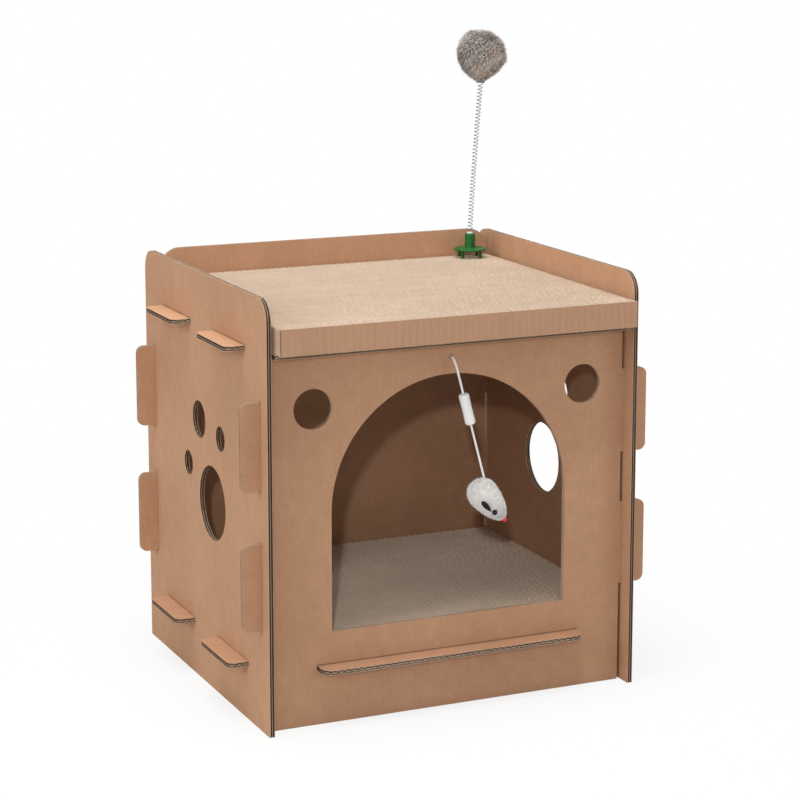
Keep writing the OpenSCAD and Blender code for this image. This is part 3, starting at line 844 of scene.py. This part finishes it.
def swirl(ways, seed, scale, waves=5):
    # A smooth made-up direction field: a few sine waves with random directions
    draw = np.random.default_rng(seed)
    out = np.zeros_like(ways)
    for _ in range(waves):
        slope, phase, push = draw.normal(0, scale, 3), draw.uniform(0, 6.28), draw.normal(0, 1, 3)
        out += np.sin(ways @ slope + phase)[:, None] * push
    return out / waves


def ball_surface(ways):
    side, up = np.sqrt(1 - np.clip(ways[:, 2] ** 2, 0, 1)), np.abs(ways[:, 2])
    power = np.where(ways[:, 2] > 0, BOXY, POINTED)
    reach = (side ** power + up ** power) ** (-1 / power)
    reach = reach * (1 + LUMP * swirl(ways, LUMP_SEED, LUMP_SCALE)[:, 0])
    return ways * (reach * BALL_FIT)[:, None] * ball_half


bm = bmesh.new()
bmesh.ops.create_icosphere(bm, subdivisions=5, radius=1)
skin = ball_surface(np.array([v.co.normalized() for v in bm.verts]))
for v, place in zip(bm.verts, skin):
    v.co = Vector(ball_centre + CORE * place)
core = finish_piece("ball_core", mesh_from_bmesh("ball_core", bm), [grey_plush], "ball", ["pom_pom"])
print("ball: %.0f mm wide" % (2000 * ball_half[0]))

# %% [markdown]
# ## The plush ball: its fur
# The hairs lean in patches and draw together in tufts, so the fur parts here and there as real plush does.
# Combing every hair the same way would look like a brush, so a swirling field and a little chance turn them.
# One side of the ball is paler and warmer than the other, which `tone` tells the material.

# %% Ball fur
HAIRS, TUFTS, LOWEST, HAIR_R = 9000, 520, -0.985, 0.0005
HAIR_L, HAIR_L_SPREAD, TUFT_L_SPREAD = 0.0023, 0.0009, 0.0009
COMB, COMB_SWIRL, COMB_SCALE, COMB_STRAY = np.array((-0.4, 0.1, -0.6)), 1.3, 5.0, 0.35
TUFT_PULL = 0.6
PALE_SIDE, TONE_SWIRL, TONE_SCALE, TUFT_TONE, HAIR_TONE = 0.4, 0.8, 4.0, 0.22, 0.12

ways = spread_directions(HAIRS, seed=3)
ways = ways[ways[:, 2] > LOWEST]
tufts = spread_directions(TUFTS, seed=8)
own = np.argmax(ways @ tufts.T, axis=1)
roots, tuft_roots = CORE * ball_surface(ways), CORE * ball_surface(tufts)
draw = np.random.default_rng(9)
size = HAIR_L + HAIR_L_SPREAD * draw.random(len(ways)) + TUFT_L_SPREAD * draw.random(TUFTS)[own]
comb = COMB + COMB_SWIRL * swirl(ways, 5, COMB_SCALE) + draw.normal(0, COMB_STRAY, ways.shape)
comb -= ways * np.sum(comb * ways, axis=1)[:, None]
lean = comb + TUFT_PULL * (tuft_roots[own] - roots) / size[:, None]
tone = 0.5 + TONE_SWIRL * swirl(ways, 33, TONE_SCALE)[:, 1] + PALE_SIDE * ways[:, 0]
tone = tone + draw.normal(0, TUFT_TONE, TUFTS)[own] + draw.normal(0, HAIR_TONE, len(ways))
fur = hairs("ball_fur", ball_centre + roots, ways, size, HAIR_R, lean, np.clip(tone, 0, 1), 11)
finish_piece("ball_fur", fur, [grey_plush], "ball")
print("ball hairs", len(ways))

# %% [markdown]
# ## The toy mouse: its body
# The mouse is a stuffed drop: a round rear that tapers to the nose.
# It could be sculpted, but it is round all the way, so one profile is turned.
# The profile follows the same rule as the frame's body, a little smaller to leave room for the hair.
# Its local Z axis runs from the rear to the nose, and its back faces local +X.

# %% Mouse body
MOUSE_R, MOUSE_FRONT, SKIN = 0.014, 0.030, 0.0012
REAR_SHIFT, MOUSE_TURN, MOUSE_LEAN = 0.0045, math.radians(20), math.radians(39)
TAPER_POWER, TAPER_ROUND = 1.6, 0.56
rear = cord_point(CORD_OUT, REAR_RUN) - np.array((REAR_SHIFT, 0, 0))
mouse_at = (Matrix.Translation(rear) @ Matrix.Rotation(-MOUSE_TURN, 4, "Z")
            @ Matrix.Rotation(math.pi - MOUSE_LEAN, 4, "Y"))
shrink = np.array((1 - SKIN / MOUSE_R, 1 - SKIN / MOUSE_R, 1 - SKIN / MOUSE_FRONT))


def mouse_radius(u):
    return MOUSE_R * (1 - np.minimum(u, 1) ** TAPER_POWER) ** TAPER_ROUND


def mouse_outline():
    rear_arc = [(MOUSE_R * math.cos(a), MOUSE_R * math.sin(a)) for a in np.linspace(-math.pi / 2, 0, 16)[:-1]]
    taper = [(mouse_radius(u), u * MOUSE_FRONT) for u in np.sin(np.linspace(0, math.pi / 2, 28))]
    profile = [(r * shrink[0], z * (shrink[2] if z > 0 else shrink[0])) for r, z in rear_arc + taper]
    return [(0, profile[0][1])] + profile[1:-1] + [(0, profile[-1][1])]


body = finish_piece("mouse_skin", revolve("mouse_skin", mouse_outline(), mouse_at), [white_plush],
                    "mouse", ["mouse_body"])
print("mouse body faces", len(body.data.polygons))

# %% [markdown]
# ## The toy mouse: its hair
# Short white hair covers the mouse and leans back from the nose.
# Its roots are spread by chance along the body and round it, and each normal comes from the profile's slope.
# Hairs that would grow through an eye, an ear or the nose are left out.

# %% Mouse hair
REAR_HAIRS, REAR_REACH, FRONT_HAIRS, FRONT_REACH = 2600, -0.99, 6200, 1.52
MOUSE_HAIR_L, MOUSE_HAIR_SPREAD, MOUSE_HAIR_R, MOUSE_COMB = 0.0016, 0.0008, 0.00022, -0.5
EYE_AT, EYE_TURN, EYE_CLEAR = 0.017, math.radians(79), 0.0026
EAR_AT, EAR_TURN = 0.007, math.radians(74)
EAR_CLEAR = ((-0.006, 0.0024), (-0.003, 0.0028), (0, 0.0026), (0.003, 0.0022), (0.0055, 0.0016))
NOSE_CLEAR, SLOPE_STEP = 0.0024, 1e-4
bare_spots = [(EYE_AT, EYE_TURN, EYE_CLEAR), (MOUSE_FRONT, 0, NOSE_CLEAR)]
bare_spots += [(EAR_AT + step, EAR_TURN, reach) for step, reach in EAR_CLEAR]


def away_from_face(places):
    clear = np.ones(len(places), bool)
    for at, turn, reach in bare_spots:
        radius = mouse_radius(at / MOUSE_FRONT)
        for sign in (-1, 1):
            spot = np.array((radius * math.cos(turn), sign * radius * math.sin(turn), at))
            clear &= np.linalg.norm(places - spot, axis=1) > reach
    return clear


draw = np.random.default_rng(31)
behind = draw.uniform(REAR_REACH, 0, REAR_HAIRS)
along = np.concatenate([behind, np.sin(draw.uniform(0, FRONT_REACH, FRONT_HAIRS))])
turn = draw.uniform(0, 2 * math.pi, len(along))
front = along >= 0
ahead = np.where(front, along, 0)
radius = np.where(front, mouse_radius(ahead), MOUSE_R * np.sqrt(1 - np.minimum(along, 0) ** 2))
height = np.where(front, MOUSE_FRONT, MOUSE_R) * along
slope = (mouse_radius(ahead) - mouse_radius(ahead + SLOPE_STEP)) / (SLOPE_STEP * MOUSE_FRONT)
rise = np.where(front, slope * radius, height)
radial = np.column_stack([np.cos(turn), np.sin(turn)]) * radius[:, None]
normal = np.column_stack([radial, rise])
normal /= np.linalg.norm(normal, axis=1)[:, None]
skin = np.column_stack([radial, height]) * shrink
clear = away_from_face(skin)
skin, normal = skin[clear], normal[clear]
mouse_axes = np.array(mouse_at.to_3x3())
comb = np.tile(MOUSE_COMB * mouse_axes[:, 2], (len(skin), 1))
size = MOUSE_HAIR_L + MOUSE_HAIR_SPREAD * draw.random(len(skin))
plush_hair = hairs("mouse_plush", skin @ mouse_axes.T + rear, normal @ mouse_axes.T, size, MOUSE_HAIR_R, comb,
                   draw.random(len(skin)), 12, rings=3)
finish_piece("mouse_plush", plush_hair, [white_plush], "mouse")
print("mouse hairs", len(skin))

# %% [markdown]
# ## The toy mouse: its face
# The face is a pair of glossy eyes, two dark drop-shaped ears and a small red nose.
# The eyes and the nose are spheres that sink a little into the body.
# Each ear is cut from a flat sheet, so its outline is filled, thickened and then bent round the body.

# %% Mouse face
EYE_R, EYE_SINK, NOSE_R, NOSE_OUT = 0.0025, 0.0003, 0.0025, 0.0005
EAR_L, EAR_W, EAR_RIM, EAR_T, EAR_LIFT = 0.007, 0.00325, 0.0008, 0.0009, 0.0008
EAR_BEND, EAR_TILT, EAR_EDGE = 0.06, math.radians(-10.4), 0.8


def on_skin(at, turn, lift):
    # A matrix on the mouse's skin: X points out, Z towards the nose
    radius = mouse_radius(at / MOUSE_FRONT) + lift
    return mouse_at @ Matrix.Rotation(turn, 4, "Z") @ Matrix.Translation((radius, 0, at))


def domes(name, places, radius, material, node):
    bm = bmesh.new()
    for place in places:
        bmesh.ops.create_uvsphere(bm, u_segments=24, v_segments=16, radius=radius, matrix=place)
    finish_piece(name, mesh_from_bmesh(name, bm), [material], "mouse", [node])


def ear_leaf(name, sign, node):
    bm = bmesh.new()
    outline = [bm.verts.new((0, EAR_W * math.sin(a) * math.sin(a / 2), EAR_L * math.cos(a)))
               for a in np.linspace(0, 2 * math.pi, 40, endpoint=False)]
    face = bm.faces.new(outline)
    bmesh.ops.inset_individual(bm, faces=[face], thickness=EAR_RIM, depth=0)
    bmesh.ops.solidify(bm, geom=bm.faces[:], thickness=EAR_T)
    skin_radius = mouse_radius(EAR_AT / MOUSE_FRONT)
    for v in bm.verts:
        v.co.x -= v.co.y ** 2 / (2 * skin_radius) + v.co.z ** 2 / (2 * EAR_BEND)
    place = on_skin(EAR_AT, sign * EAR_TURN, EAR_LIFT) @ Matrix.Rotation(EAR_TILT, 4, "Y")
    bmesh.ops.transform(bm, matrix=place, verts=bm.verts)
    finish_piece(name, mesh_from_bmesh(name, bm, EAR_EDGE), [ear_black], "mouse", [node])


eye_places = [on_skin(EYE_AT, sign * EYE_TURN, -EYE_SINK) for sign in (-1, 1)]
nose_place = mouse_at @ Matrix.Translation((0, 0, MOUSE_FRONT + NOSE_OUT))
domes("mouse_eye_domes", eye_places, EYE_R, eye_black, "mouse_eyes")
domes("mouse_nose_ball", [nose_place], NOSE_R, nose_red, "mouse_nose")
ear_leaf("mouse_ear_leaf_left", -1, "mouse_ear_left")
ear_leaf("mouse_ear_leaf_right", 1, "mouse_ear_right")
print("mouse face: %.0f mm from ear to nose" % (1000 * (MOUSE_FRONT - EAR_AT)))

# %% [markdown]
# ## The knot behind the front board
# The cord ends in a simple knot inside the house, which keeps it from slipping out of its hole.
# A trefoil curve is the shape of that knot, so a formula gives its path and a tube follows it.
# A straight run goes through the hole.

# %% Knot
BOARD = 0.0045
FRONT_IN = FRONT_Y + BOARD
KNOT_SIZE, KNOT_POINTS, KNOT_IN = 0.00105, 90, 0.0028
TAIL_BEND, TAIL_IN = -0.001, 0.0016
KNOT_PINCH, KNOT_EDGE = 0.98, 0.9

t = np.linspace(0, 2 * math.pi, KNOT_POINTS, endpoint=False)
knot = np.column_stack([np.sin(t) + 2 * np.sin(2 * t), np.sin(3 * t), np.cos(t) - 2 * np.cos(2 * t)])
knot = KNOT_SIZE * knot + np.array((0, FRONT_IN + KNOT_IN, HOLE_Z))
tail = [(0, y, HOLE_Z) for y in (FRONT_Y, FRONT_IN + TAIL_BEND, FRONT_IN + TAIL_IN)]
bm = bmesh.new()
for path in (np.vstack([knot, knot[:2]]), tail):
    bm.from_mesh(tube("knot_part", path, CORD_D / 2 * KNOT_PINCH))
finish_piece("cord_knot", mesh_from_bmesh("cord_knot", bm, KNOT_EDGE), [cord_white], "house",
             ["cord_anchor"])
print("knot: %.0f mm of cord" % (1000 * path_length(knot)))

# %% [markdown]
# ## The floor
# The floor is a plain pale plane that catches a soft shadow and fades to white away from the house.
# The fade is only for the camera: Light Path's Is Camera Ray mixes in a white glow.
# Light that bounces off the floor is dimmed, so the inside of the house stays darker than its outside.

# %% Floor
FLOOR_SIZE, FLOOR_SEEN, FLOOR_BOUNCE = 30, (0.70, 0.70, 0.70), (0.5, 0.5, 0.5)
FADE_START, FADE_END, LEAST_WHITE = 0.15, 0.55, 0.8


def floor_paint():
    material, tree, shader = new_material("floor", FLOOR_SEEN, roughness=0.9, Specular_IOR_Level=0.1)
    coords = tree.nodes.new("ShaderNodeTexCoord")
    distance = tree.nodes.new("ShaderNodeVectorMath")
    distance.operation = "LENGTH"
    tree.links.new(coords.outputs["Object"], distance.inputs[0])
    by_camera = tree.nodes.new("ShaderNodeLightPath").outputs["Is Camera Ray"]
    tree.links.new(mix(tree, by_camera, FLOOR_BOUNCE, FLOOR_SEEN), shader.inputs["Base Color"])
    white = tree.nodes.new("ShaderNodeEmission")
    fade = remap(tree, distance.outputs["Value"], FADE_START, FADE_END, LEAST_WHITE, 1.0)
    blend = tree.nodes.new("ShaderNodeMixShader")
    tree.links.new(math_node(tree, "MULTIPLY", fade, by_camera), blend.inputs["Fac"])
    tree.links.new(shader.outputs["BSDF"], blend.inputs[1])
    tree.links.new(white.outputs["Emission"], blend.inputs[2])
    tree.links.new(blend.outputs["Shader"], tree.nodes["Material Output"].inputs["Surface"])
    return material


bm = bmesh.new()
bmesh.ops.create_grid(bm, x_segments=1, y_segments=1, size=FLOOR_SIZE)
floor = bpy.data.objects.new("floor", mesh_from_bmesh("floor", bm))
floor.data.materials.append(floor_paint())
scene.collection.objects.link(floor)
print("floor fades from %.2f m to %.2f m" % (FADE_START, FADE_END))

# %% [markdown]
# ## Light and background
# A small key light stands near the camera and gives the tabs a clear shadow.
# A broad one at the left, one overhead and a weak one at the right fill in the rest.
# The background is white for the camera and in reflections.
# For all other light it is dimmer, so the boards keep their own colour.

# %% Lights
SKY_LIGHT = 0.44


def area_light(name, place, target, size, energy):
    light = bpy.data.lights.new(name, "AREA")
    light.shape = "DISK"
    light.size = size
    light.energy = energy
    obj = bpy.data.objects.new(name, light)
    obj.location = place
    obj.rotation_euler = (Vector(target) - Vector(place)).to_track_quat("-Z", "Y").to_euler()
    scene.collection.objects.link(obj)


area_light("key", place=(-1.31, -2.71, 1.22), target=(0, 0, 0.25), size=0.09, energy=18)
area_light("side", place=(-3.0, -0.7, 1.5), target=(0, 0, 0.2), size=1.6, energy=38)
area_light("top", place=(-0.3, -0.3, 2.9), target=(0, 0, 0.35), size=1.4, energy=76)
area_light("fill", place=(2.6, -2.2, 0.9), target=(0, 0, 0.25), size=1.6, energy=15)

world = bpy.data.worlds.new("studio")
scene.world = world
world.use_nodes = True
tree = world.node_tree
rays = tree.nodes.new("ShaderNodeLightPath").outputs
seen = math_node(tree, "MAXIMUM", rays["Is Camera Ray"], rays["Is Glossy Ray"])
seen = math_node(tree, "MAXIMUM", seen, rays["Is Transmission Ray"])
background = tree.nodes["Background"]
background.inputs["Color"].default_value = (1, 1, 1, 1)
tree.links.new(remap(tree, seen, 0, 1, SKY_LIGHT, 1.0), background.inputs["Strength"])
scene.view_settings.view_transform = "Standard"
print("lights:", len(bpy.data.lights))
